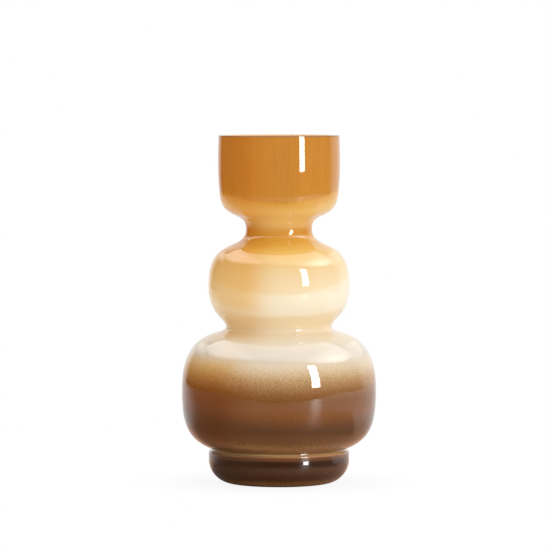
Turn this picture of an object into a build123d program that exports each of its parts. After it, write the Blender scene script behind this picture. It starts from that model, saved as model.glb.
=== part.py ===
"""Gourd vase of cased glass: an opal bubble, three coloured overlays and an applied foot.

Millimetres. Z is the axis of the vase and points to the mouth. Z = 0 is the table it stands on.
"""
import os
from math import acos, radians, sin, tan

from build123d import *

# Radii of the outer surface from the mouth down; at a corner or crease, before it is rounded
RIM_RADIUS = 60.9
CUP_BELLY_RADIUS = 61.8
CUP_CORNER_RADIUS = 57.0
THROAT_RADIUS = 33.0
MIDDLE_RADIUS = 71.1
WAIST_CREASE_RADIUS = 50.1
LOWER_RADIUS = 97.8
BOTTOM_RADIUS = 58.1
FOOT_RADIUS = 70.7

# Heights, stacked upward from the table
BUBBLE_LIFT = 24.0
LOWER_BULB_HEIGHT = 132.8
MIDDLE_BULB_HEIGHT = 99.3
CUP_FLARE_HEIGHT = 49.8
CUP_WALL_HEIGHT = 44.1

# Slopes of the straight runs between the round stretches, in degrees from level
THROAT_ANGLE = 26.6
MIDDLE_UNDERSIDE_ANGLE = 45.4
LOWER_SHOULDER_ANGLE = 20.2
LOWER_UNDERSIDE_ANGLE = 35.9

# Radii of the round stretches of the wall, seen in section
CUP_BELLY_ROUNDING = 157.0
CUP_CORNER_ROUNDING = 13.9
THROAT_ROUNDING = 14.3
MIDDLE_SHOULDER_ROUNDING = 36.9
MIDDLE_UNDERSIDE_ROUNDING = 52.0
WAIST_ROUNDING = 4.0
LOWER_SHOULDER_ROUNDING = 46.8
LOWER_UNDERSIDE_ROUNDING = 47.8
BOTTOM_ROUNDING = 60.0

# Thickness of the glass layers, and the height over which two overlays taper into each other
OVERLAY_WALL = 1.2
OPAL_WALL = 2.8
SCARF_HEIGHT = 10.0
RIM_ROUNDING = 0.7

# Foot: rolled bottom edge, ground ring that stands on the table, shallow hollow inside that ring
FOOT_EDGE_ROUNDING = 23.8
FOOT_TOP_ROUNDING = 1.2
GROUND_RING_WIDTH = 10.0
PUNT_DEPTH = 6.0

# Heights over the table
WAIST_Z = BUBBLE_LIFT + LOWER_BULB_HEIGHT
THROAT_Z = WAIST_Z + MIDDLE_BULB_HEIGHT
CUP_BELLY_Z = THROAT_Z + CUP_FLARE_HEIGHT
RIM_Z = CUP_BELLY_Z + CUP_WALL_HEIGHT

# The two runs at the throat would meet here, deeper than the throat that rounds them off
THROAT_APEX = THROAT_RADIUS - THROAT_ROUNDING * (1 / sin(radians(THROAT_ANGLE)) - 1)


def run_end(start_radius, start_z, end_radius, angle):
    """Return the point where a run that starts at a radius and height reaches another radius."""
    rise = abs(end_radius - start_radius) * tan(radians(abs(angle)))
    return Vector(end_radius, start_z + rise if angle > 0 else start_z - rise)


# Corners of the outer section from rim to bottom as (radius, height), with the radius that rounds each
CUP_CORNER = run_end(THROAT_APEX, THROAT_Z, CUP_CORNER_RADIUS, THROAT_ANGLE)
MIDDLE_SHOULDER = run_end(THROAT_APEX, THROAT_Z, MIDDLE_RADIUS, -THROAT_ANGLE)
MIDDLE_UNDERSIDE = run_end(WAIST_CREASE_RADIUS, WAIST_Z, MIDDLE_RADIUS, MIDDLE_UNDERSIDE_ANGLE)
LOWER_SHOULDER = run_end(WAIST_CREASE_RADIUS, WAIST_Z, LOWER_RADIUS, -LOWER_SHOULDER_ANGLE)
LOWER_UNDERSIDE = run_end(BOTTOM_RADIUS, BUBBLE_LIFT, LOWER_RADIUS, LOWER_UNDERSIDE_ANGLE)
SECTION = [
    (Vector(RIM_RADIUS, RIM_Z), 0),
    (Vector(CUP_BELLY_RADIUS, CUP_BELLY_Z), CUP_BELLY_ROUNDING),
    (CUP_CORNER, CUP_CORNER_ROUNDING),
    (Vector(THROAT_APEX, THROAT_Z), THROAT_ROUNDING),
    (MIDDLE_SHOULDER, MIDDLE_SHOULDER_ROUNDING),
    (MIDDLE_UNDERSIDE, MIDDLE_UNDERSIDE_ROUNDING),
    (Vector(WAIST_CREASE_RADIUS, WAIST_Z), WAIST_ROUNDING),
    (LOWER_SHOULDER, LOWER_SHOULDER_ROUNDING),
    (LOWER_UNDERSIDE, LOWER_UNDERSIDE_ROUNDING),
    (Vector(BOTTOM_RADIUS, BUBBLE_LIFT), BOTTOM_ROUNDING),
    (Vector(0, BUBBLE_LIFT), 0),
]
MIDDLE_Z = (MIDDLE_SHOULDER.Y + MIDDLE_UNDERSIDE.Y) / 2
LOWER_Z = (LOWER_SHOULDER.Y + LOWER_UNDERSIDE.Y) / 2


def inward(run):
    """Return the unit vector that points from a run of the section towards the axis."""
    return Vector(run.Y, -run.X).normalized()


def fitted_roundings():
    """Return the rounding of each inner corner, no larger than the runs on its two sides have room for."""
    corners = [corner for corner, rounding in SECTION]
    runs = [end - start for start, end in zip(corners, corners[1:])]
    pulls = [tan(acos(a.normalized().dot(b.normalized())) / 2) for a, b in zip(runs, runs[1:])]
    wanted = [0] + [rounding * pull for (corner, rounding), pull in zip(SECTION[1:], pulls)] + [0]
    shares = [run.length / max(run.length, a + b) for run, a, b in zip(runs, wanted, wanted[1:])]
    return [
        rounding * min(above, below)
        for (corner, rounding), above, below in zip(SECTION[1:], shares, shares[1:])
    ]


def outline(inset):
    """Return the section line, from rim to bottom, that lies parallel to the outer one at an inset."""
    corners = [corner for corner, rounding in SECTION]
    runs = [end - start for start, end in zip(corners, corners[1:])]
    points = [corners[0] - Vector(inset, 0)]
    roundings = []
    for corner, rounding, above, below in zip(corners[1:], fitted_roundings(), runs, runs[1:]):
        across_above = inward(above)
        across_below = inward(below)
        both = across_above + across_below
        points.append(corner + both * (inset / (1 + across_above.dot(across_below))))
        hollow = above.dot(across_below) > 0
        roundings.append(rounding + inset if hollow else rounding - inset)
    points.append(corners[-1] + Vector(0, inset))
    return FilletPolyline(*points, radius=roundings)


def filled(inset):
    """Return the half section of everything inside the outline at an inset."""
    wall = outline(inset)
    axis_top = Vector(0, RIM_Z)
    return make_face(wall.edges() + [Line(wall @ 1, axis_top), Line(axis_top, wall @ 0)])


def beyond_scarf(radius, height, side):
    """Return a wide half section that ends in a slant across the overlay at a bulb's widest place.

    Side 1 covers what is above the slant and side -1 what is below it. The covered overlay reaches
    farther on the outside, so that it laps over its neighbour.
    """
    outer = Vector(radius, height - side * SCARF_HEIGHT / 2)
    inner = Vector(radius - OVERLAY_WALL, height + side * SCARF_HEIGHT / 2)
    wide = 2 * LOWER_RADIUS
    far = height + side * RIM_Z
    corners = [(wide, outer.Y), outer, inner, (0, inner.Y), (0, far), (wide, far)]
    return make_face(Polyline(*corners, close=True))


def turned(section):
    """Return the solid made by turning a half section about the axis."""
    return revolve(Plane.XZ * section, Axis.Z).solid()


def circles_by_height(solid):
    """Return the round edges of a solid, lowest first."""
    return solid.edges().filter_by(GeomType.CIRCLE).sort_by(Axis.Z)


def rim_edge(solid, inner):
    """Return the inner or the outer edge of the rim of a solid."""
    rims = [edge for edge in circles_by_height(solid) if edge.center().Z > RIM_Z - RIM_ROUNDING]
    rims.sort(key=lambda edge: edge.radius)
    return rims[0] if inner else rims[-1]


def make_opal_core():
    """Return the opal bubble that carries the colour, open at the rim and closed below."""
    core = turned(filled(OVERLAY_WALL) - filled(OVERLAY_WALL + OPAL_WALL))
    return fillet(rim_edge(core, inner=True), min(RIM_ROUNDING, OPAL_WALL / 2))


def make_overlays():
    """Return the amber, cream and brown overlays, which wrap the bubble end to end."""
    skin = filled(0) - filled(OVERLAY_WALL)
    above = beyond_scarf(MIDDLE_RADIUS, MIDDLE_Z, 1)
    below = beyond_scarf(LOWER_RADIUS, LOWER_Z, -1)
    amber = turned(skin & above)
    cream = turned(skin - above - below)
    brown = turned(skin & below)
    amber = fillet(rim_edge(amber, inner=False), min(RIM_ROUNDING, OVERLAY_WALL / 1.5))
    return amber, cream, brown


def make_foot():
    """Return the applied foot: dished on top to seat the bubble, hollow inside its ground ring."""
    ring_outer = FOOT_RADIUS - FOOT_EDGE_ROUNDING
    ring_inner = ring_outer - GROUND_RING_WIDTH
    edge_start = Vector(ring_outer, 0)
    edge_end = Vector(FOOT_RADIUS, FOOT_EDGE_ROUNDING)
    block = make_face([
        ThreePointArc((-ring_inner, 0), (0, PUNT_DEPTH), (ring_inner, 0)).trim(0.5, 1),
        Line((ring_inner, 0), edge_start),
        RadiusArc(edge_start, edge_end, -FOOT_EDGE_ROUNDING),
        Line(edge_end, (FOOT_RADIUS, LOWER_Z)),
        Line((FOOT_RADIUS, LOWER_Z), (0, LOWER_Z)),
        Line((0, LOWER_Z), (0, PUNT_DEPTH)),
    ])
    foot = turned(block - filled(0))
    return fillet(circles_by_height(foot)[-1], FOOT_TOP_ROUNDING)


os.makedirs("parts", exist_ok=True)
amber_overlay, cream_overlay, brown_overlay = make_overlays()
pieces = {
    "opal_core": make_opal_core(),
    "amber_overlay": amber_overlay,
    "cream_overlay": cream_overlay,
    "brown_overlay": brown_overlay,
    "foot": make_foot(),
}
for name, piece in pieces.items():
    export_step(piece, "parts/" + name + ".step")
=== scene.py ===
"""Gourd vase of cased glass: the finish of its five pieces and the small studio that shows it."""
from math import acos, pi, radians

import bpy
import numpy as np
from bpy.props import FloatProperty, FloatVectorProperty, PointerProperty
from bpy.types import NodeSocket, Operator, Panel, PropertyGroup
from mathutils import Matrix, Vector


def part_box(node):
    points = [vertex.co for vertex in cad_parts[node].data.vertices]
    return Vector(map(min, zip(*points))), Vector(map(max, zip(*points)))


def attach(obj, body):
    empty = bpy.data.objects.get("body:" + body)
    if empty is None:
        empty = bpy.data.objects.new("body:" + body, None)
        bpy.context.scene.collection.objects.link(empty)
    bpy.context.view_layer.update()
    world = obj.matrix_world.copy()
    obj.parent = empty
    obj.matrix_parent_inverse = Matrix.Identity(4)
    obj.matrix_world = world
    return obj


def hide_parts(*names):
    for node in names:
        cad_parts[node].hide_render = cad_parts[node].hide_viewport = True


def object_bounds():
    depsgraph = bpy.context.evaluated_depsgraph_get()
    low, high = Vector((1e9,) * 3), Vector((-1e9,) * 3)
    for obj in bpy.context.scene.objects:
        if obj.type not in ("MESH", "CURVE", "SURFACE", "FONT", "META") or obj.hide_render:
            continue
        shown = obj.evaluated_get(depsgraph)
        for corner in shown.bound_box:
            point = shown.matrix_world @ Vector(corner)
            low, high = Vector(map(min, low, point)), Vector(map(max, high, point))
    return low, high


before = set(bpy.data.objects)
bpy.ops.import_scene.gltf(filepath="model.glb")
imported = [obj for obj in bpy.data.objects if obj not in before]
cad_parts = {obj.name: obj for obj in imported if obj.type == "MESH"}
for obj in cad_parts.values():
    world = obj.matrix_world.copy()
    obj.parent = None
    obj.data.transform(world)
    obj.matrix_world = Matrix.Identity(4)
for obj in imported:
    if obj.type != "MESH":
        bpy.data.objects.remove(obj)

bl_info = {
    "name": "Gourd Vase",
    "version": (1, 0, 0),
    "blender": (4, 5, 0),
    "location": "View3D > Sidebar > Gourd Vase",
    "description": "Builds a cased glass gourd vase from its wall line, layer by layer, and lights it",
    "category": "Add Mesh",
}

# Box of the solid model and the radii that the finish takes from it
CAD_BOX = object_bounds()
HEIGHT = CAD_BOX[1].z
MIDDLE_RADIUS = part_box("amber_overlay")[1].x
LOWER_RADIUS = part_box("brown_overlay")[1].y
FOOT_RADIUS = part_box("foot")[1].x

# Bands of colour on the outside, on the foot and on the inside, as GourdColours names them
COAT_BANDS = (
    "amber", "toffee", "caramel", "honey", "throat", "straw", "maize", "cream", "butter", "milk",
    "buff", "waist", "ivory", "bisque", "sand", "nut", "brown", "rust", "umber", "russet", "ember", "tawny",
)
FOOT_BANDS = ("shade", "gold", "bronze", "chestnut", "coffee", "cocoa", "mocha", "amber_edge")
INSIDE_BANDS = ("tan", "opal")

# Fineness of the turned surfaces
SEGMENTS = 192
STEPS = 120
SAMPLES_PER_SPAN = 200
SHARP_EDGE = radians(50)

# Power of its own height with which the foot's side draws in
FOOT_SIDE_POWER = 20

# A value with four numbers below is a ramp: two places, then what holds at each of them and beyond

# Clouds in the glass: how many to the metre, and the part of their range that is used
SWAY_CLOUDS = 14
POWDER_CLOUDS = 800
SIDE_CLOUDS = 20
STREAK_CLOUDS = 420
BROAD_STREAK_CLOUDS = 60
STREAK_DRAWN = (1, 1, 0.06)
STREAK_RANGE = (0.7, 1.3)
SWELL_CLOUDS = 22
HAZE_CLOUDS = 60
HAZE_RANGE = (0.3, 0.7)

# Skin of the glass: its roughness, its swells and its refraction
SMOOTHEST = 0.02
ROUGHEST = 0.04
SWELL_STRENGTH = 0.1
SWELL_DEPTH = 0.0004
GLASS_IOR = 1.5

# Coat: how its bands sway, dip in the middle, slide on the deep side and break up into powder
COAT_SWAY = 0.006
# The dip bends the bands' clear edges into the curve of the floor's reflection, which is painted
BAND_DIP = 3.1
BAND_SLIDE = -0.004
POWDER_TOP = 0.150
POWDER_SCATTER = 0.028

# Deep side of the coat: where it starts and is full at the bisque and at the waist, and how deep it is
SIDE_SWAY = 0.02
DEEP_START = (-0.020, 0.002)
DEEP_FULL = (-0.065, -0.040)
DEEP_BROWN = 0.5
DEEP_BROWN_RISE = 0.004
DEEP_CUP = 0.7
PALE_IVORY_RISE = 0.006
PALE_IVORY = (0.004, 0.020, 0.2, 1.0)
PALE_WAIST_RISE = 0.008
PALE_WAIST = (0.004, 0.014, 0.6, 1.0)

# Streaks of the cup and of the inside, fade of the lip, sway inside, and the foot's sway and deep side
CUP_STREAKS = 0.22
OPAL_STREAKS = 0.15
LIP_FADE = 0.001
OPAL_SWAY = 0.01
FOOT_SWAY = 0.002
FOOT_DEEP_START = -0.005
FOOT_DEEP_FULL = -0.045
DEEP_FOOT = 0.45

# Floor: half its width, and how plain its white is by distance from the vase, so that the shadow stays
FLOOR_HALF = 6.0
PLAIN_WHITE = (0.07, 0.16, 0.90, 1.0)

# Floor as glass mirrors it: the oval that ends it, its front by distance, and its gloss
FLOOR_RADII = (1.6, 0.85)
FLOOR_END = (0.95, 1.05, 0.0, 1.0)
FRONT_START = (0.6, 2.0, -0.10, 0.54)
FRONT_END = (0.6, 2.0, 0.50, 0.80)
FLOOR_ROUGHNESS = 0.45
FLOOR_IOR = 1.45

# Shades on that floor: warm light by distance, dark by side, and a dark ring by distance and by side
WARM_NEAR = (0.13, 0.42, 1.0, 0.0)
LEFT_SHADE = (0.8, -0.1, 0.05, 0.45)
FAR_LEFT_SHADE = (-0.5, -0.95, 0.0, 0.4)
RING_INSIDE = (0.11, 0.155, 0.0, 1.0)
RING_OUTSIDE = (0.36, 0.62, 0.95, 0.0)
RING_FRONT = (0.05, -0.10, 0.0, 1.0)
RING_LEFT = (-0.95, -0.30, 0.4, 1.0)

# Room: the way to the backdrop, which reaches farther round on the right, and the way to the bright side
BACKDROP_WAY = (0.26, 1.0, 0.0)
BACKDROP_MIRRORED = (0.54, 0.80, 0.03, 1.0)
BRIGHT_WAY = (0.78, -0.60, 0.10)
ROOM_LEVEL = (-1.0, 1.0, 0.72, 1.28)

# Softbox on a level sheet one metre up: its oval, the line of its back, and the gain at its front ends
LOWEST_RISE = 0.001
SOFTBOX_CENTRE = (0.26, 0.55)
SOFTBOX_RADII = (1.68, 1.47)
SOFTBOX_EDGE = (1.3, 0.7)
BACK_MIDDLE = (-0.6, 0.6, 1.30, 0.75)
BACK_RIGHT = (0.9, 1.5, 0.0, 0.35)
BACK_LEFT = (-0.85, -1.15, 0.0, 0.40)
BACK_EDGE = (-0.15, 0.15, 1.0, 0.0)
RIGHT_GAIN = (0.60, 1.35, 0.0, 2.0)
RIGHT_FRONT = (0.8, -0.1, 0.0, 1.0)
LEFT_GAIN = (-0.45, -0.62, 0.0, 0.7)
LEFT_FRONT = (0.9, 0.3, 0.1, 1.0)

# Glow behind the softbox's two ends, on the same sheet
GLOW_RIGHT = (0.55, 0.95, 0.0, 1.6)
GLOW_RIGHT_END = (2.0, 3.0, 1.0, 0.0)
GLOW_RIGHT_FRONT = (0.6, 1.1, 0.0, 1.0)
GLOW_LEFT = (-0.75, -1.05, 0.0, 1.6)
GLOW_LEFT_END = (-1.35, -2.1, 1.0, 0.0)
GLOW_LEFT_FRONT = (0.9, 1.4, 0.0, 1.0)
GLOW_BACK = (2.2, 4.0, 1.0, 0.6)

# Ends of every shade
BLACK = (0, 0, 0)
WHITE = (1, 1, 1)


def length(name, description, default):
    """Return a property for a length in metres."""
    return FloatProperty(
        name=name,
        description=description,
        default=default,
        min=0,
        precision=4,
        unit="LENGTH",
        subtype="DISTANCE",
    )


def fullness(name, description, default):
    """Return a property for how far a ring's own direction reaches towards the next ring."""
    return FloatProperty(
        name=name, description=description, default=default, min=0, max=1.5, subtype="FACTOR"
    )


def colour(name, description, default):
    """Return a property for a colour, in linear light."""
    return FloatVectorProperty(
        name=name, description=description, default=default, min=0, max=1, subtype="COLOR"
    )


def brightness(name, description, default):
    """Return a property for the brightness of a light, where 1 is white."""
    return FloatProperty(name=name, description=description, default=default, min=0)


def spot(name, description, default):
    """Return a property for a place in the studio, in metres."""
    return FloatVectorProperty(name=name, description=description, default=default, unit="LENGTH")


class GourdShape(PropertyGroup):
    """Rings of the wall line from the rim down, fullness between them, glass layers and foot"""

    rim_radius: length("Rim radius", "Outer radius at the mouth", 0.0608)
    cup_radius: length("Cup radius", "Widest radius of the mouth cup", 0.0614)
    cup_height: length("Cup height", "Height of the cup's widest ring", 0.3208)
    hip_radius: length("Hip radius", "Radius where the cup starts to turn in", 0.0597)
    hip_height: length("Hip height", "Height where the cup starts to turn in", 0.2903)
    throat_radius: length("Throat radius", "Radius of the narrow neck", 0.0332)
    throat_height: length("Throat height", "Height of the narrow neck", 0.2559)
    middle_radius: length("Middle radius", "Widest radius of the middle bulb", MIDDLE_RADIUS)
    middle_height: length("Middle height", "Height of the middle bulb's widest ring", 0.1998)
    waist_radius: length("Waist radius", "Radius of the crease between the bulbs", 0.0534)
    waist_height: length("Waist height", "Height of the crease between the bulbs", 0.1574)
    lower_radius: length("Lower radius", "Widest radius of the lower bulb", LOWER_RADIUS)
    lower_height: length("Lower height", "Height of the lower bulb's widest ring", 0.0953)
    bottom_height: length("Bottom height", "Height of the bubble's bottom on the axis", 0.027)
    cup_corner: fullness("Cup corner", "Fullness under the cup", 0.78)
    throat_top: fullness("Throat top", "Fullness above the throat", 0.54)
    throat_bottom: fullness("Throat bottom", "Fullness below the throat", 0.42)
    middle_shoulder: fullness("Middle shoulder", "Fullness of the middle bulb's top", 0.89)
    middle_underside: fullness("Middle underside", "Fullness of the middle bulb's bottom", 0.73)
    waist_top: fullness("Waist top", "Fullness above the waist crease", 0.20)
    waist_bottom: fullness("Waist bottom", "Fullness below the waist crease", 0.16)
    lower_shoulder: fullness("Lower shoulder", "Fullness of the lower bulb's top", 1.03)
    lower_underside: fullness("Lower underside", "Fullness of the lower bulb's bottom", 0.68)
    bottom_spread: fullness("Bottom spread", "Flat share of the bubble's bottom", 0.95)
    overlay: length("Overlay", "Thickness of the coloured glass", 0.0012)
    wall: length("Wall", "Thickness of coloured and opal glass together", 0.004)
    lip: length("Lip", "Height of the rounded lip", 0.0006)
    scarf: length("Scarf", "Height over which two overlays taper into each other", 0.010)
    foot_radius: length("Foot radius", "Widest radius of the foot", FOOT_RADIUS)
    foot_top: length("Foot top", "Height where the foot meets the bubble", 0.0325)
    foot_shoulder: length("Foot shoulder", "Height of the foot's widest ring", 0.0238)
    foot_taper: length("Foot taper", "How much the foot draws in towards its top", 0.0010)
    seam: length("Seam", "Height of the hollow seam where the foot is fused to the bubble", 0.0022)
    foot_ring: length("Foot ring", "Width of the ground ring under the foot", 0.010)
    punt: length("Punt", "Depth of the hollow under the foot", 0.006)


class GourdColours(PropertyGroup):
    """Colours of the glass from the rim down, and the height at which each one is pure"""

    amber: colour("Amber", "Upper half of the mouth cup", (0.640, 0.257, 0.039))
    amber_height: length("Amber height", "Height of the amber", 0.338)
    toffee: colour("Toffee", "Lower half of the mouth cup", (0.670, 0.280, 0.043))
    toffee_height: length("Toffee height", "Height of the toffee", 0.2848)
    # Caramel: paler glass at the cup's turn, brightened below a clear edge as a painted reflection of the
    # floor.
    caramel: colour("Caramel", "Turn of the mouth cup, under a clear edge", (0.800, 0.385, 0.064))
    caramel_height: length("Caramel height", "Height of the caramel", 0.2818)
    # Honey: paler glass under the cup, lightened as painted light that comes through the glass at the neck.
    honey: colour("Honey", "Underside of the mouth cup", (0.910, 0.585, 0.190))
    honey_height: length("Honey height", "Height of the honey", 0.2675)
    throat: colour("Throat", "Narrow neck", (0.720, 0.335, 0.052))
    throat_height: length("Throat height", "Height of the throat's colour", 0.252)
    straw: colour("Straw", "Top of the middle bulb", (0.860, 0.510, 0.118))
    straw_height: length("Straw height", "Height of the straw", 0.236)
    maize: colour("Maize", "Shoulder of the middle bulb", (0.890, 0.625, 0.295))
    maize_height: length("Maize height", "Height of the maize", 0.220)
    cream: colour("Cream", "Girth of the middle bulb", (0.965, 0.765, 0.485))
    cream_height: length("Cream height", "Height of the cream", 0.1932)
    # Butter: paler glass below the girth, brightened below a clear edge as a painted reflection of the floor.
    butter: colour("Butter", "Below the girth, under a clear edge", (0.985, 0.830, 0.590))
    butter_height: length("Butter height", "Height of the butter", 0.1906)
    milk: colour("Milk", "Underside of the middle bulb", (0.980, 0.835, 0.620))
    milk_height: length("Milk height", "Height of the milk", 0.1730)
    buff: colour("Buff", "Over the crease between the bulbs, under a clear edge", (0.900, 0.725, 0.475))
    buff_height: length("Buff height", "Height of the buff", 0.1695)
    waist: colour("Waist", "Crease between the bulbs", (0.900, 0.735, 0.495))
    waist_height: length("Waist height", "Height of the crease's colour", 0.158)
    ivory: colour("Ivory", "Shoulder of the lower bulb", (0.748, 0.648, 0.526))
    ivory_height: length("Ivory height", "Height of the ivory", 0.134)
    bisque: colour("Bisque", "First thin powder", (0.770, 0.610, 0.415))
    bisque_height: length("Bisque height", "Height of the bisque", 0.122)
    sand: colour("Sand", "Half covered by powder", (0.560, 0.355, 0.180))
    sand_height: length("Sand height", "Height of the sand", 0.111)
    nut: colour("Nut", "Nearly covered by powder", (0.385, 0.195, 0.082))
    nut_height: length("Nut height", "Height of the nut", 0.102)
    brown: colour("Brown", "Girth of the lower bulb", (0.235, 0.090, 0.025))
    brown_height: length("Brown height", "Height of the brown", 0.091)
    rust: colour("Rust", "Reddish band under the girth", (0.235, 0.086, 0.027))
    rust_height: length("Rust height", "Height of the rust", 0.0750)
    umber: colour("Umber", "Underside of the lower bulb", (0.125, 0.052, 0.021))
    umber_height: length("Umber height", "Height of the umber", 0.060)
    russet: colour("Russet", "Turn of the lower bulb towards the foot", (0.192, 0.075, 0.023))
    russet_height: length("Russet height", "Height of the russet", 0.0450)
    # Ember: painted glow of light through the glass at the crease over the foot.
    ember: colour("Ember", "Crease over the foot, where light comes through", (0.370, 0.178, 0.077))
    ember_height: length("Ember height", "Height of the ember", 0.0395)
    tawny: colour("Tawny", "Lowest ring of the bubble that shows", (0.150, 0.062, 0.016))
    tawny_height: length("Tawny height", "Height of the tawny", 0.0370)
    shade: colour("Shade", "Deepest place of the seam over the foot", (0.150, 0.062, 0.016))
    shade_height: length("Shade height", "Height of the shade", 0.0346)
    # Gold: painted glow of light through the thin top edge of the foot.
    gold: colour("Gold", "Top edge of the foot, which lets light through", (0.950, 0.560, 0.240))
    gold_height: length("Gold height", "Height of the gold", 0.0335)
    # Bronze: brown glass with the painted glow of the top edge fading down.
    bronze: colour("Bronze", "Top of the foot's side", (0.260, 0.110, 0.045))
    bronze_height: length("Bronze height", "Height of the bronze", 0.0312)
    # Chestnut: brown glass with the last of the painted glow, above the darker belt.
    chestnut: colour("Chestnut", "Warm ring round the top of the foot's side", (0.165, 0.066, 0.028))
    chestnut_height: length("Chestnut height", "Height of the chestnut", 0.0283)
    # Coffee: the foot's dark brown glass, deepened in a belt as a painted dark reflection.
    coffee: colour("Coffee", "Side of the foot", (0.050, 0.017, 0.0050))
    coffee_height: length("Coffee height", "Height of the coffee", 0.0268)
    cocoa: colour("Cocoa", "Widest ring of the foot", (0.075, 0.030, 0.013))
    cocoa_height: length("Cocoa height", "Height of the cocoa", 0.0185)
    mocha: colour("Mocha", "Rolled edge of the foot", (0.075, 0.024, 0.0060))
    mocha_height: length("Mocha height", "Height of the mocha", 0.0080)
    # Amber edge: painted glow of light through the glass at the foot's bottom edge.
    amber_edge: colour("Amber edge", "Bottom edge of the foot, lit through", (0.250, 0.112, 0.034))
    amber_edge_height: length("Amber edge height", "Height of the amber edge", 0.0025)
    tan: colour("Tan", "Inside of the mouth, where amber shows through", (0.950, 0.680, 0.380))
    tan_height: length("Tan height", "Height of the tan", 0.300)
    opal: colour("Opal", "Inside of the bubble", (0.800, 0.660, 0.440))
    opal_height: length("Opal height", "Height of the opal", 0.235)
    lip: colour("Lip", "Lip, where the colour is looked at edge on", (0.300, 0.115, 0.022))
    lip_height: length("Lip height", "Height down to which the lip's colour reaches", 0.3483)
    # Deep: tint that darkens the coat towards −x.
    deep: colour("Deep", "Light that is left where the colour lies thicker", (0.940, 0.720, 0.430))


class GourdStudio(PropertyGroup):
    """Camera, lamps and floor"""

    lens: FloatProperty(name="Lens", description="Focal length", default=250.2, min=1, unit="CAMERA")
    camera_place: spot("Camera", "Where the camera stands", (-0.0040, -3.84, 0.4038))
    camera_target: spot("Target", "What the camera looks at", (-0.0040, 0, 0.2093))
    paper: colour("Paper", "Floor", (0.93, 0.93, 0.93))
    # Painted warm glow on the floor near the vase: light through the amber glass, as glass mirrors it.
    warm_glow_paper: colour("Warm paper", "Floor near the vase, as glass mirrors it", (0.93, 0.55, 0.38))
    dark_end: colour("Dark end", "Beyond the floor's front, as glass mirrors it", (0.01, 0.01, 0.01))
    softbox_light: brightness("Softbox", "Brightness of the softbox in the glass", 2.4)
    strip_light: brightness("Strip", "Brightness of the strip's reflection", 24)
    key_light: brightness("Key", "Brightness of the strip as it lights the glass", 4.0)
    room_light: brightness("Room", "Brightness of the room around", 0.90)
    strip_place: spot("Strip place", "Where the strip stands", (1.50, -1.61, 0.82))
    strip_target: spot("Strip target", "What the strip faces", (0, 0, 0.82))
    strip_lean: FloatProperty(
        name="Strip lean", description="How far the strip leans", default=radians(3), subtype="ANGLE"
    )
    strip_width: length("Strip width", "Width of the strip", 0.40)
    strip_height: length("Strip height", "Height of the strip", 1.30)
    low_place: spot("Low lamp", "Where the small lamp by the foot is", (0.0510, -0.0901, 0.0222))
    low_target: spot("Low target", "What the small lamp faces", (0, 0, -0.065))
    low_width: length("Low lamp width", "Width of the small lamp", 0.0105)
    low_height: length("Low lamp height", "Height of the small lamp", 0.0048)


def quadratic(start, control, end):
    """Return the cubic control points of the curve that a start, one control point and an end give."""
    return [start, (start + 2 * control) / 3, (end + 2 * control) / 3, end]


def wall_spans(shape):
    """Return the outer wall line, rim to bottom, as control points: span, point, then radius and height.

    Each span is a cubic Bezier curve between two rings. At the throat, the bulbs and the waist the line
    runs straight down, and the fullness of a ring times the span's height sets how far.
    """
    rim = np.array([shape.rim_radius, HEIGHT])
    cup = np.array([shape.cup_radius, shape.cup_height])
    hip = np.array([shape.hip_radius, shape.hip_height])
    throat = np.array([shape.throat_radius, shape.throat_height])
    middle = np.array([shape.middle_radius, shape.middle_height])
    waist = np.array([shape.waist_radius, shape.waist_height])
    lower = np.array([shape.lower_radius, shape.lower_height])
    bottom = np.array([0, shape.bottom_height])
    down = np.array([0, -1])
    above_cup = np.array([shape.cup_radius, (rim[1] + cup[1]) / 2])
    below_cup = np.array([shape.cup_radius, (cup[1] + hip[1]) / 2])
    lean = (hip - below_cup) / (below_cup - hip)[1]

    def between(upper, upper_fullness, lower_fullness, under, start=down):
        drop = upper[1] - under[1]
        return [upper, upper + start * upper_fullness * drop, under - down * lower_fullness * drop, under]

    return np.array([
        quadratic(rim, above_cup, cup),
        quadratic(cup, below_cup, hip),
        between(hip, shape.cup_corner, shape.throat_top, throat, lean),
        between(throat, shape.throat_bottom, shape.middle_shoulder, middle),
        between(middle, shape.middle_underside, shape.waist_top, waist),
        between(waist, shape.waist_bottom, shape.lower_shoulder, lower),
        [
            lower,
            lower + down * shape.lower_underside * (lower[1] - bottom[1]),
            bottom + np.array([shape.bottom_spread * lower[0], 0]),
            bottom,
        ],
    ])


def wall_line(spans, places, inset=0):
    """Return points of the wall line, or of the line parallel to it at an inset.

    A place is a span's number plus the share of that span. The point is the cubic Bezier sum of the
    span's four control points, moved by the inset at right angles to the curve, towards the axis.
    """
    number = np.minimum(places.astype(int), len(spans) - 1)
    share = (places - number)[:, None]
    rest = 1 - share
    first, second, third, fourth = (spans[number, index] for index in range(4))
    points = rest**3 * first + 3 * rest**2 * share * second
    points = points + 3 * rest * share**2 * third + share**3 * fourth
    slopes = rest**2 * (second - first) + 2 * rest * share * (third - second) + share**2 * (fourth - third)
    across = np.stack([slopes[:, 1], -slopes[:, 0]], axis=1)
    return points + inset * across / np.linalg.norm(across, axis=1, keepdims=True)


def place_at(spans, height, inset=0):
    """Return the place where the line at an inset passes a height."""
    places = np.linspace(0, len(spans), len(spans) * SAMPLES_PER_SPAN)
    heights = wall_line(spans, places, inset)[:, 1]
    return np.interp(-height, -heights, places)


def stretch(spans, upper, lower, inset=0):
    """Return the line at an inset between two places, with its points drawn together at both ends."""
    share = (1 - np.cos(np.linspace(0, pi, STEPS))) / 2
    return wall_line(spans, upper + share * (lower - upper), inset)


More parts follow.
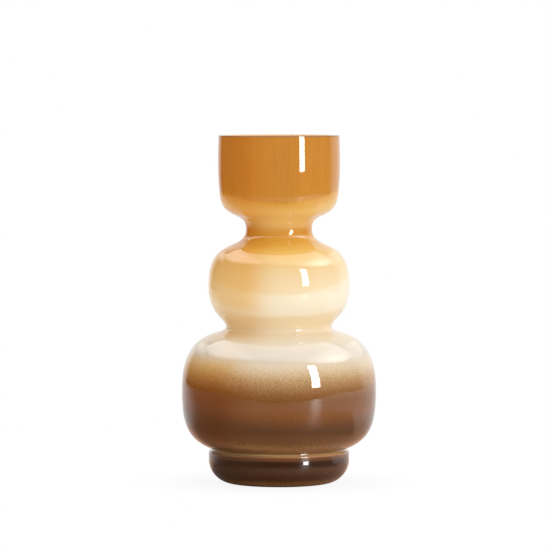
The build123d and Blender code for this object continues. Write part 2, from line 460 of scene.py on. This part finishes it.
def lip_line(shape, start, end):
    """Return part of the lip, a half ellipse: a turn runs from 0 at its outer edge to pi at its inner one."""
    turn = np.linspace(start, end, STEPS // 4)
    radius = shape.rim_radius - shape.wall / 2 * (1 - np.cos(turn))
    height = HEIGHT - shape.lip + shape.lip * np.sin(turn)
    return np.stack([radius, height], axis=1)


def lip_turn(shape):
    """Return the turn of the lip at which the overlay ends and the opal glass starts."""
    return acos(1 - 2 * shape.overlay / shape.wall)


def amber_section(shape, spans):
    """Return the closed section of the amber overlay: lip, outside, slanted lower edge, inside."""
    under_lip = place_at(spans, HEIGHT - shape.lip)
    outer_end = place_at(spans, shape.middle_height - shape.scarf / 2)
    inner_end = place_at(spans, shape.middle_height + shape.scarf / 2, shape.overlay)
    return np.concatenate([
        lip_line(shape, lip_turn(shape), 0),
        stretch(spans, under_lip, outer_end)[1:],
        stretch(spans, inner_end, under_lip, shape.overlay),
    ])


def cream_section(shape, spans):
    """Return the closed section of the cream overlay: outside, lower slant, inside, upper slant."""
    return np.concatenate([
        stretch(
            spans,
            place_at(spans, shape.middle_height - shape.scarf / 2),
            place_at(spans, shape.lower_height + shape.scarf / 2),
        ),
        stretch(
            spans,
            place_at(spans, shape.lower_height - shape.scarf / 2, shape.overlay),
            place_at(spans, shape.middle_height + shape.scarf / 2, shape.overlay),
            shape.overlay,
        ),
    ])


def brown_section(shape, spans):
    """Return the section of the brown overlay from its inner bottom up to the slant and down outside."""
    bottom = len(spans)
    inner_end = place_at(spans, shape.lower_height - shape.scarf / 2, shape.overlay)
    outer_end = place_at(spans, shape.lower_height + shape.scarf / 2)
    return np.concatenate([
        stretch(spans, bottom, inner_end, shape.overlay),
        stretch(spans, outer_end, bottom),
    ])


def core_section(shape, spans):
    """Return the section of the opal bubble from its inner bottom up, over the lip and down outside."""
    bottom = len(spans)
    under_lip = place_at(spans, HEIGHT - shape.lip)
    whole = np.linspace(bottom, under_lip, 2 * STEPS)
    return np.concatenate([
        wall_line(spans, whole, shape.wall),
        lip_line(shape, pi, lip_turn(shape)),
        wall_line(spans, whole[::-1], shape.overlay),
    ])


def foot_section(shape, spans):
    """Return the section of the foot: hollow, ground ring, rolled edge, side, fused seam and seat.

    The rolled edge is a quarter circle, the hollow is a parabola, the side above the edge draws in with a
    high power of its height, and the seam is a quadratic curve that turns up from the side's end to the
    bubble.
    """
    edge = shape.foot_shoulder
    ring_outer = shape.foot_radius - edge
    ring_inner = ring_outer - shape.foot_ring
    share = np.linspace(0, 1, STEPS // 2)
    hollow = np.stack([ring_inner * share, shape.punt * (1 - share**2)], axis=1)
    turn = share * pi / 2
    rolled = np.stack([ring_outer + edge * np.sin(turn), edge * (1 - np.cos(turn))], axis=1)
    rise = shape.foot_top - edge
    drawn_in = shape.foot_taper * share**FOOT_SIDE_POWER
    side = np.stack([shape.foot_radius - drawn_in, edge + rise * share], axis=1)
    seat = stretch(spans, place_at(spans, shape.foot_top + shape.seam), len(spans))
    share = share[1:-1, None]
    corner = np.array([seat[0, 0], shape.foot_top])
    seam = (1 - share) ** 2 * side[-1] + 2 * share * (1 - share) * corner + share**2 * seat[0]
    return np.concatenate([hollow, rolled, side[1:], seam, seat])


def turned(name, section, closed):
    """Return a mesh turned from a section: x and y are the radius times the cosine and sine of the angle.

    A closed section gives a ring. An open one starts and ends on the axis, where its faces meet in a point.
    """
    angles = np.linspace(0, 2 * pi, SEGMENTS, endpoint=False)
    rings = section if closed else section[1:-1]
    count = len(rings)
    points = np.empty((SEGMENTS, count, 3))
    points[:, :, 0] = np.cos(angles)[:, None] * rings[:, 0]
    points[:, :, 1] = np.sin(angles)[:, None] * rings[:, 0]
    points[:, :, 2] = rings[:, 1]
    here = np.arange(SEGMENTS)[:, None] * count
    there = np.roll(here, -1, axis=0)
    step = np.arange(count if closed else count - 1)
    onward = (step + 1) % count
    quads = np.stack([here + step, here + onward, there + onward, there + step], axis=2).reshape(-1, 4)
    points = points.reshape(-1, 3)
    faces = quads.tolist()
    if not closed:
        poles = len(points) + np.array([0, 1])
        ends = np.array([[0, 0, section[0, 1]], [0, 0, section[-1, 1]]])
        points = np.concatenate([points, ends])
        here = here[:, 0]
        there = there[:, 0]
        final = count - 1
        first = np.stack([np.full(SEGMENTS, poles[0]), here, there], axis=1)
        last = np.stack([np.full(SEGMENTS, poles[1]), there + final, here + final], axis=1)
        faces += first.tolist() + last.tolist()
    mesh = bpy.data.meshes.new(name)
    mesh.from_pydata(points, [], faces)
    mesh.polygons.foreach_set("use_smooth", np.ones(len(mesh.polygons), dtype=bool))
    mesh.set_sharp_from_angle(angle=SHARP_EDGE)
    mesh.validate()
    return mesh


def add_node(tree, kind, inputs=None, **settings):
    """Add a shader node, apply its settings and fill its inputs with values or links."""
    made = tree.nodes.new("ShaderNode" + kind)
    for key, value in settings.items():
        setattr(made, key, value)
    for key, value in (inputs or {}).items():
        if isinstance(value, NodeSocket):
            tree.links.new(value, made.inputs[key])
        else:
            made.inputs[key].default_value = value
    return made


def reckon(tree, operation, first, second=0.0):
    """Return the result of a sum on two values."""
    return add_node(tree, "Math", {0: first, 1: second}, operation=operation).outputs[0]


def times(tree, first, *others):
    """Return the product of several values."""
    for other in others:
        first = reckon(tree, "MULTIPLY", first, other)
    return first


def plus(tree, first, *others):
    """Return the sum of several values."""
    for other in others:
        first = reckon(tree, "ADD", first, other)
    return first


def apart(tree, value, place):
    """Return how far a value is from a place, on either side of it."""
    return reckon(tree, "ABSOLUTE", reckon(tree, "SUBTRACT", value, place))


def along(tree, direction, way):
    """Return how far a direction leads along a way."""
    return add_node(tree, "VectorMath", {0: direction, 1: way}, operation="DOT_PRODUCT").outputs["Value"]


def oval(tree, x, y, centre, radii):
    """Return a value that is 1 on an oval: the squares of x and y, each over its radius, added up."""
    across = reckon(tree, "DIVIDE", reckon(tree, "SUBTRACT", x, centre[0]), radii[0])
    ahead = reckon(tree, "DIVIDE", reckon(tree, "SUBTRACT", y, centre[1]), radii[1])
    return plus(tree, times(tree, across, across), times(tree, ahead, ahead))


def ranged(tree, value, low, high, new_low, new_high, smooth=False):
    """Return a value carried from one range to another and held inside it."""
    kind = "SMOOTHSTEP" if smooth else "LINEAR"
    inputs = {"Value": value, "From Min": low, "From Max": high, "To Min": new_low, "To Max": new_high}
    return add_node(tree, "MapRange", inputs, interpolation_type=kind).outputs["Result"]


def mixed(tree, factor, first, second):
    """Return the mix of two colours, each a colour or a socket."""
    inputs = {0: factor}
    for index, value in ((6, first), (7, second)):
        inputs[index] = value if isinstance(value, NodeSocket) else (*value, 1)
    return add_node(tree, "Mix", inputs, data_type="RGBA").outputs[2]


def noise(tree, vector, scale, detail=2.0, roughness=0.5):
    """Return cloudy noise from 0 to 1 on a position, with a number of clouds to the metre."""
    inputs = {"Vector": vector, "Scale": scale, "Detail": detail, "Roughness": roughness}
    return add_node(tree, "TexNoise", inputs).outputs["Fac"]


def drift(tree, vector, scale, **settings):
    """Return cloudy noise that goes about as far below zero as above it."""
    return reckon(tree, "SUBTRACT", noise(tree, vector, scale, **settings), 0.5)


def axes_of(tree, vector):
    """Return the three parts of a vector by the name of their axis."""
    return add_node(tree, "SeparateXYZ", {"Vector": vector}).outputs


def on_object(tree):
    """Return the position on the piece, in metres."""
    return add_node(tree, "TexCoord").outputs["Object"]


def shared_group(name, inputs, outputs, build):
    """Return the node group of that name, made on first use from its sockets and its builder.

    Inputs are the names of values. Outputs are names with their kind, such as Float or Color.
    """
    group = bpy.data.node_groups.get(name)
    if group is None:
        group = bpy.data.node_groups.new(name, "ShaderNodeTree")
        for socket in inputs:
            group.interface.new_socket(socket, in_out="INPUT", socket_type="NodeSocketFloat")
        for socket, kind in outputs.items():
            group.interface.new_socket(socket, in_out="OUTPUT", socket_type="NodeSocket" + kind)
        build(group, group.nodes.new("NodeGroupInput").outputs, group.nodes.new("NodeGroupOutput").inputs)
    return group


def use_group(tree, group, **inputs):
    """Place a node group in a tree with its inputs and return its outputs."""
    return add_node(tree, "Group", inputs, node_tree=group).outputs


def drawn_height_group():
    """Group that gives the height of a place in metres, swayed by slow clouds and scattered by powder."""

    def build(tree, enter, leave):
        where = on_object(tree)
        sway = times(tree, drift(tree, where, SWAY_CLOUDS), enter["Sway"])
        scatter = times(tree, drift(tree, where, POWDER_CLOUDS, detail=3, roughness=0.7), enter["Powder"])
        tree.links.new(plus(tree, axes_of(tree, where)["Z"], sway, scatter), leave["Height"])

    return shared_group("Drawn Height", ("Sway", "Powder"), {"Height": "Float"}, build)


def drawn_height(tree, sway=0.0, powder=0.0):
    """Return the drawn height of a place on the piece."""
    return use_group(tree, drawn_height_group(), Sway=sway, Powder=powder)["Height"]


def streak_group():
    """Group of faint upright streaks, drawn out as the bubble was blown."""

    def build(tree, enter, leave):
        drawn = add_node(tree, "Mapping", {"Vector": on_object(tree), "Scale": STREAK_DRAWN}).outputs[0]
        fine = noise(tree, drawn, STREAK_CLOUDS, detail=3)
        both = plus(tree, fine, noise(tree, drawn, BROAD_STREAK_CLOUDS))
        tree.links.new(ranged(tree, both, *STREAK_RANGE, 0.0, enter["Amount"]), leave["Streak"])

    return shared_group("Blown Streaks", ("Amount",), {"Streak": "Float"}, build)


def deep_side_group():
    """Group that rises to 1 towards −x, where the colour is made deeper."""

    def build(tree, enter, leave):
        where = on_object(tree)
        sway = times(tree, drift(tree, where, SIDE_CLOUDS), SIDE_SWAY)
        across = plus(tree, axes_of(tree, where)["X"], sway)
        depth = ranged(tree, across, enter["From"], enter["To"], 0.0, 1.0, smooth=True)
        tree.links.new(depth, leave["Depth"])

    return shared_group("Deep Side", ("From", "To"), {"Depth": "Float"}, build)


def polish_group():
    """Group of the fire-polished skin: slow swells for the bump, and a roughness that varies a little."""

    def build(tree, enter, leave):
        where = on_object(tree)
        tree.links.new(noise(tree, where, SWELL_CLOUDS, detail=1), leave["Swell"])
        haze = ranged(tree, noise(tree, where, HAZE_CLOUDS), *HAZE_RANGE, enter["Smooth"], enter["Rough"])
        tree.links.new(haze, leave["Roughness"])

    return shared_group("Fire Polish", ("Smooth", "Rough"), {"Swell": "Float", "Roughness": "Float"}, build)


def banded(tree, colours, names, height):
    """Return the colour at a height, carried smoothly from each named band to the next."""
    ramp = add_node(tree, "ValToRGB", {"Fac": reckon(tree, "DIVIDE", height, HEIGHT)})
    ramp.color_ramp.interpolation = "CARDINAL"
    stops = ramp.color_ramp.elements
    stops.remove(stops[1])
    for index, name in enumerate(sorted(names, key=lambda name: getattr(colours, name + "_height"))):
        place = getattr(colours, name + "_height") / HEIGHT
        stop = stops[0] if index == 0 else stops.new(place)
        stop.position = place
        stop.color = (*getattr(colours, name), 1)
    return ramp.outputs["Color"]


def cased_colour_group(colours):
    """Group of the coat's colour from rim to foot: bands by height, deeper on one side.

    The bands dip in the middle by the square of x, so that the clear edges of the painted floor
    reflections, under the cup and under the girth, curve up at the sides. On the deep side, towards −x, the
    powder's bands lie higher, brown turns to umber, and all colours darken, least at the ivory and a little
    less at the waist and the cup.
    """

    def build(tree, enter, leave):
        height = drawn_height(tree, enter["Sway"], enter["Powder"])
        across = axes_of(tree, on_object(tree))["X"]
        dip = ranged(tree, height, colours.waist_height, colours.cream_height, 0.0, BAND_DIP)
        height = reckon(tree, "SUBTRACT", height, times(tree, across, across, dip))
        start = ranged(tree, height, colours.bisque_height, colours.waist_height, *DEEP_START)
        full = ranged(tree, height, colours.bisque_height, colours.waist_height, *DEEP_FULL)
        depth = use_group(tree, deep_side_group(), From=start, To=full)["Depth"]
        slide = ranged(tree, height, colours.waist_height, colours.ivory_height, 0.0, BAND_SLIDE, smooth=True)
        bands = banded(tree, colours, COAT_BANDS, plus(tree, height, times(tree, slide, depth)))
        brown_top = colours.brown_height + DEEP_BROWN_RISE
        darker_share = ranged(tree, height, brown_top, colours.rust_height, 0.0, DEEP_BROWN, smooth=True)
        bands = mixed(tree, times(tree, darker_share, depth), bands, colours.umber)
        from_ivory = apart(tree, height, colours.ivory_height + PALE_IVORY_RISE)
        from_waist = apart(tree, height, colours.waist_height + PALE_WAIST_RISE)
        darkness = times(
            tree,
            depth,
            ranged(tree, from_ivory, *PALE_IVORY, smooth=True),
            ranged(tree, from_waist, *PALE_WAIST, smooth=True),
            ranged(tree, height, colours.honey_height, colours.toffee_height, 1.0, DEEP_CUP),
        )
        shade = mixed(tree, darkness, WHITE, colours.deep)
        factors = {0: 1.0, 6: bands, 7: shade}
        deepened = add_node(tree, "Mix", factors, data_type="RGBA", blend_type="MULTIPLY")
        tree.links.new(deepened.outputs[2], leave["Color"])

    return shared_group("Cased Colour", ("Sway", "Powder"), {"Color": "Color"}, build)


def glass(name, paint):
    """Return a glossy glass material whose base colour a function paints into its node tree."""
    material = bpy.data.materials.new(name)
    material.use_nodes = True
    tree = material.node_tree
    tree.nodes.clear()
    polish = use_group(tree, polish_group(), Smooth=SMOOTHEST, Rough=ROUGHEST)
    swells = {"Height": polish["Swell"], "Strength": SWELL_STRENGTH, "Distance": SWELL_DEPTH}
    shader = add_node(tree, "BsdfPrincipled", {
        "Base Color": paint(tree),
        "Roughness": polish["Roughness"],
        "Normal": add_node(tree, "Bump", swells).outputs["Normal"],
        "IOR": GLASS_IOR,
    })
    add_node(tree, "OutputMaterial", {"Surface": shader.outputs["BSDF"]})
    return material


def amber_paint(colours):
    """Return the function that paints the amber overlay: the coat's bands, streaks on the cup, dark lip."""

    def paint(tree):
        base = use_group(tree, cased_colour_group(colours), Sway=COAT_SWAY, Powder=0.0)["Color"]
        streak = use_group(tree, streak_group(), Amount=CUP_STREAKS)["Streak"]
        height = drawn_height(tree)
        on_cup = ranged(tree, height, colours.honey_height, colours.toffee_height, 0.0, 1.0)
        at_lip = ranged(tree, height, colours.lip_height, colours.lip_height + LIP_FADE, 0.0, 1.0)
        base = mixed(tree, times(tree, streak, on_cup), base, colours.lip)
        return mixed(tree, at_lip, base, colours.lip)

    return paint


def powder_paint(colours):
    """Return the function that paints the cream and brown overlays: the coat's bands, broken by powder."""

    def paint(tree):
        height = drawn_height(tree)
        powder = ranged(tree, height, POWDER_TOP, colours.bisque_height, 0.0, POWDER_SCATTER, smooth=True)
        return use_group(tree, cased_colour_group(colours), Sway=COAT_SWAY, Powder=powder)["Color"]

    return paint


def foot_paint(colours):
    """Return the function that paints the dark foot, with a painted glow along its thin upper and lower
    edges, and darker towards −x.
    """

    def paint(tree):
        height = drawn_height(tree, FOOT_SWAY)
        base = banded(tree, colours, FOOT_BANDS, height)
        depth = use_group(tree, deep_side_group(), From=FOOT_DEEP_START, To=FOOT_DEEP_FULL)["Depth"]
        darker_share = ranged(tree, height, colours.amber_edge_height, colours.mocha_height, 0.0, DEEP_FOOT)
        return mixed(tree, times(tree, depth, darker_share), base, colours.coffee)

    return paint


def opal_paint(colours):
    """Return the function that paints the inside: amber showing through at the mouth, opal deeper down."""

    def paint(tree):
        base = banded(tree, colours, INSIDE_BANDS, drawn_height(tree, OPAL_SWAY))
        streak = use_group(tree, streak_group(), Amount=OPAL_STREAKS)["Streak"]
        return mixed(tree, streak, base, colours.tan)

    return paint


def add_piece(context, node, section, closed, material):
    """Turn a section into a piece that stands for a node of the solid model."""
    piece = bpy.data.objects.new("glass_" + node, turned("glass_" + node, section, closed))
    context.scene.collection.objects.link(piece)
    piece.data.materials.append(material)
    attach(piece, "root")
    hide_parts(node)


class GOURD_OT_opal_core(Operator):
    """Blow the opal bubble that carries the coloured glass"""

    bl_idname = "gourd.opal_core"
    bl_label = "Opal Core"

    def execute(self, context):
        shape = context.scene.gourd_shape
        section = core_section(shape, wall_spans(shape))
        material = glass("opal_glass", opal_paint(context.scene.gourd_colours))
        add_piece(context, "opal_core", section, False, material)
        return {"FINISHED"}


class GOURD_OT_overlays(Operator):
    """Case the bubble in amber, cream and brown glass"""

    bl_idname = "gourd.overlays"
    bl_label = "Overlays"

    def execute(self, context):
        shape = context.scene.gourd_shape
        colours = context.scene.gourd_colours
        spans = wall_spans(shape)
        amber = glass("amber_glass", amber_paint(colours))
        cream = glass("cream_glass", powder_paint(colours))
        brown = glass("brown_glass", powder_paint(colours))
        add_piece(context, "amber_overlay", amber_section(shape, spans), True, amber)
        add_piece(context, "cream_overlay", cream_section(shape, spans), True, cream)
        add_piece(context, "brown_overlay", brown_section(shape, spans), False, brown)
        return {"FINISHED"}


class GOURD_OT_foot(Operator):
    """Put on the foot"""

    bl_idname = "gourd.foot"
    bl_label = "Foot"

    def execute(self, context):
        shape = context.scene.gourd_shape
        material = glass("foot_glass", foot_paint(context.scene.gourd_colours))
        add_piece(context, "foot", foot_section(shape, wall_spans(shape)), False, material)
        return {"FINISHED"}


def aimed(place, target, lean=0.0):
    """Return the matrix of a lamp or camera that looks from a place at a target, leaning about its axis."""
    turn = (Vector(target) - Vector(place)).to_track_quat("-Z", "Y").to_matrix().to_4x4()
    return Matrix.Translation(place) @ turn @ Matrix.Rotation(lean, 4, "Z")


def add_lamp(context, name, size, matrix, radiance, on_glass=True, on_surfaces=True):
    """Add a flat lamp of a given brightness that the camera doesn't see."""
    data = bpy.data.lights.new(name, "AREA")
    data.shape = "RECTANGLE"
    data.size, data.size_y = size
    data.energy = pi * size[0] * size[1] * radiance
    lamp = bpy.data.objects.new(name, data)
    context.scene.collection.objects.link(lamp)
    lamp.matrix_world = matrix
    lamp.visible_camera = False
    lamp.visible_glossy = on_glass
    lamp.visible_diffuse = on_surfaces


def floor_material(studio):
    """Return the white floor that the camera sees, and the shaded one that glass mirrors.

    The camera sees white that keeps the shadow near the vase. Glass mirrors paper with a painted warm glow
    near the vase, painted shade on the left and a painted shadow in a ring round the front, and it ends
    with an oval in front.
    """
    material = bpy.data.materials.new("white_floor")
    material.use_nodes = True
    tree = material.node_tree
    tree.nodes.clear()
    where = on_object(tree)
    axes = axes_of(tree, where)
    distance = add_node(tree, "VectorMath", {0: where}, operation="LENGTH").outputs["Value"]
    towards = add_node(tree, "VectorMath", {0: where}, operation="NORMALIZE").outputs[0]
    sides = axes_of(tree, towards)
    start = ranged(tree, distance, *FRONT_START)
    end = ranged(tree, distance, *FRONT_END)
    in_front = ranged(tree, along(tree, towards, BACKDROP_WAY), start, end, 1.0, 0.0, smooth=True)
    reach = oval(tree, axes["X"], reckon(tree, "MINIMUM", axes["Y"], 0.0), (0, 0), FLOOR_RADII)
    beyond = times(tree, ranged(tree, reach, *FLOOR_END), in_front)
    # Painted shade on the left of the floor, and a painted shadow of the vase in a ring round the front
    left = plus(tree, ranged(tree, sides["X"], *LEFT_SHADE), ranged(tree, sides["X"], *FAR_LEFT_SHADE))
    ring = times(
        tree,
        ranged(tree, distance, *RING_INSIDE, smooth=True),
        ranged(tree, distance, *RING_OUTSIDE, smooth=True),
        ranged(tree, sides["Y"], *RING_FRONT, smooth=True),
        ranged(tree, sides["X"], *RING_LEFT, smooth=True),
    )
    paper = mixed(tree, ranged(tree, distance, *WARM_NEAR, smooth=True), studio.paper, studio.warm_glow_paper)
    paper = mixed(tree, times(tree, left, in_front), paper, BLACK)
    paper = mixed(tree, ring, paper, BLACK)
    finish = {"Base Color": paper, "Roughness": FLOOR_ROUGHNESS, "IOR": FLOOR_IOR}
    glossy = add_node(tree, "BsdfPrincipled", finish).outputs[0]
    dark = add_node(tree, "BsdfDiffuse", {"Color": (*studio.dark_end, 1)}).outputs[0]
    mirrored = add_node(tree, "MixShader", {0: beyond, 1: glossy, 2: dark}).outputs[0]
    lit = add_node(tree, "BsdfDiffuse", {"Color": (*studio.paper, 1)}).outputs[0]
    path = add_node(tree, "LightPath").outputs
    sheet = add_node(tree, "MixShader", {0: path["Is Glossy Ray"], 1: lit, 2: mirrored}).outputs[0]
    white = add_node(tree, "Emission", {"Color": (*WHITE, 1), "Strength": 1.0}).outputs[0]
    seen = reckon(tree, "MAXIMUM", path["Is Camera Ray"], path["Is Transmission Ray"])
    plain = times(tree, seen, ranged(tree, distance, *PLAIN_WHITE, smooth=True))
    floor = add_node(tree, "MixShader", {0: plain, 1: sheet, 2: white}).outputs[0]
    add_node(tree, "OutputMaterial", {"Surface": floor})
    return material


def softbox_seen(tree, axes, radiance):
    """Return how bright the softbox overhead is in a direction.

    A direction meets a level sheet one metre up at x / z and y / z. On that sheet the softbox is an oval
    with a soft edge, cut off along a bent line at its back and brighter at its two front ends. A fainter
    glow lies behind both ends.
    """
    rise = reckon(tree, "MAXIMUM", axes["Z"], LOWEST_RISE)
    x = reckon(tree, "DIVIDE", axes["X"], rise)
    y = reckon(tree, "DIVIDE", axes["Y"], rise)
    back = plus(
        tree,
        ranged(tree, x, *BACK_MIDDLE),
        ranged(tree, x, *BACK_RIGHT),
        ranged(tree, x, *BACK_LEFT),
    )
    gain = plus(
        tree,
        times(tree, ranged(tree, x, *RIGHT_GAIN), ranged(tree, y, *RIGHT_FRONT)),
        times(tree, ranged(tree, x, *LEFT_GAIN), ranged(tree, y, *LEFT_FRONT)),
        1.0,
    )
    reach = oval(tree, x, y, SOFTBOX_CENTRE, SOFTBOX_RADII)
    box = times(
        tree,
        ranged(tree, reach, *SOFTBOX_EDGE, 0.0, radiance, smooth=True),
        ranged(tree, reckon(tree, "SUBTRACT", y, back), *BACK_EDGE, smooth=True),
        gain,
    )
    glow_right = times(
        tree,
        ranged(tree, x, *GLOW_RIGHT, smooth=True),
        ranged(tree, x, *GLOW_RIGHT_END),
        ranged(tree, y, *GLOW_RIGHT_FRONT, smooth=True),
    )
    glow_left = times(
        tree,
        ranged(tree, x, *GLOW_LEFT, smooth=True),
        ranged(tree, x, *GLOW_LEFT_END),
        ranged(tree, y, *GLOW_LEFT_FRONT, smooth=True),
    )
    glow = times(tree, plus(tree, glow_right, glow_left), ranged(tree, y, *GLOW_BACK))
    return reckon(tree, "MAXIMUM", box, glow)


def light_room(context, studio):
    """Give the room a white backdrop for the camera, which glass mirrors only behind the vase."""
    world = bpy.data.worlds.new("studio")
    context.scene.world = world
    world.use_nodes = True
    tree = world.node_tree
    tree.nodes.clear()
    direction = add_node(tree, "TexCoord").outputs["Generated"]
    behind = ranged(tree, along(tree, direction, BACKDROP_WAY), *BACKDROP_MIRRORED, smooth=True)
    softbox = softbox_seen(tree, axes_of(tree, direction), studio.softbox_light)
    mirrored = reckon(tree, "MAXIMUM", behind, softbox)
    room = times(tree, ranged(tree, along(tree, direction, BRIGHT_WAY), *ROOM_LEVEL), studio.room_light)
    path = add_node(tree, "LightPath").outputs
    around = add_node(tree, "Mix", {0: path["Is Glossy Ray"], 2: room, 3: mirrored}).outputs[0]
    seen = reckon(tree, "MAXIMUM", path["Is Camera Ray"], path["Is Transmission Ray"])
    level = add_node(tree, "Mix", {0: seen, 2: around, 3: 1.0}).outputs[0]
    backdrop = add_node(tree, "Background", {"Color": (*WHITE, 1), "Strength": level})
    add_node(tree, "OutputWorld", {"Surface": backdrop.outputs[0]})


class GOURD_OT_stage(Operator):
    """Set up the floor, the room, the lamps and the camera"""

    bl_idname = "gourd.stage"
    bl_label = "Stage"

    def execute(self, context):
        scene = context.scene
        studio = scene.gourd_studio
        scene.view_settings.view_transform = "Standard"
        mesh = bpy.data.meshes.new("floor")
        corners = FLOOR_HALF * np.array([[-1, -1, 0], [1, -1, 0], [1, 1, 0], [-1, 1, 0]])
        mesh.from_pydata(corners, [], [(0, 1, 2, 3)])
        mesh.materials.append(floor_material(studio))
        floor = bpy.data.objects.new("floor", mesh)
        scene.collection.objects.link(floor)
        light_room(context, studio)
        strip_size = (studio.strip_width, studio.strip_height)
        strip = aimed(studio.strip_place, studio.strip_target, studio.strip_lean)
        add_lamp(context, "strip", strip_size, strip, studio.strip_light, on_surfaces=False)
        add_lamp(context, "key", strip_size, strip, studio.key_light, on_glass=False)
        low_size = (studio.low_width, studio.low_height)
        low = aimed(studio.low_place, studio.low_target)
        add_lamp(context, "low", low_size, low, studio.strip_light, on_surfaces=False)
        camera = bpy.data.objects.new("camera", bpy.data.cameras.new("camera"))
        scene.collection.objects.link(camera)
        camera.data.lens = studio.lens
        camera.matrix_world = aimed(studio.camera_place, studio.camera_target)
        scene.camera = camera
        return {"FINISHED"}


class GOURD_PT_panel(Panel):
    """Lists the steps that make the vase, and its sizes and colours"""

    bl_label = "Gourd Vase"
    bl_space_type = "VIEW_3D"
    bl_region_type = "UI"
    bl_category = "Gourd Vase"

    def draw(self, context):
        for step in STEPS_IN_ORDER:
            self.layout.operator(step.bl_idname)
        scene = context.scene
        for settings in (scene.gourd_shape, scene.gourd_colours, scene.gourd_studio):
            for name in settings.__annotations__:
                self.layout.prop(settings, name)


STEPS_IN_ORDER = (GOURD_OT_opal_core, GOURD_OT_overlays, GOURD_OT_foot, GOURD_OT_stage)
CLASSES = (GourdShape, GourdColours, GourdStudio, *STEPS_IN_ORDER, GOURD_PT_panel)


def register():
    """Register the classes and hang the settings on the scene."""
    for entry in CLASSES:
        bpy.utils.register_class(entry)
    bpy.types.Scene.gourd_shape = PointerProperty(type=GourdShape)
    bpy.types.Scene.gourd_colours = PointerProperty(type=GourdColours)
    bpy.types.Scene.gourd_studio = PointerProperty(type=GourdStudio)


def unregister():
    """Take the settings off the scene and unregister the classes."""
    del bpy.types.Scene.gourd_shape
    del bpy.types.Scene.gourd_colours
    del bpy.types.Scene.gourd_studio
    for entry in reversed(CLASSES):
        bpy.utils.unregister_class(entry)


def main():
    """Build the vase and its stage."""
    register()
    bpy.ops.gourd.opal_core()
    bpy.ops.gourd.overlays()
    bpy.ops.gourd.foot()
    bpy.ops.gourd.stage()


if __name__ == "__main__":
    main()
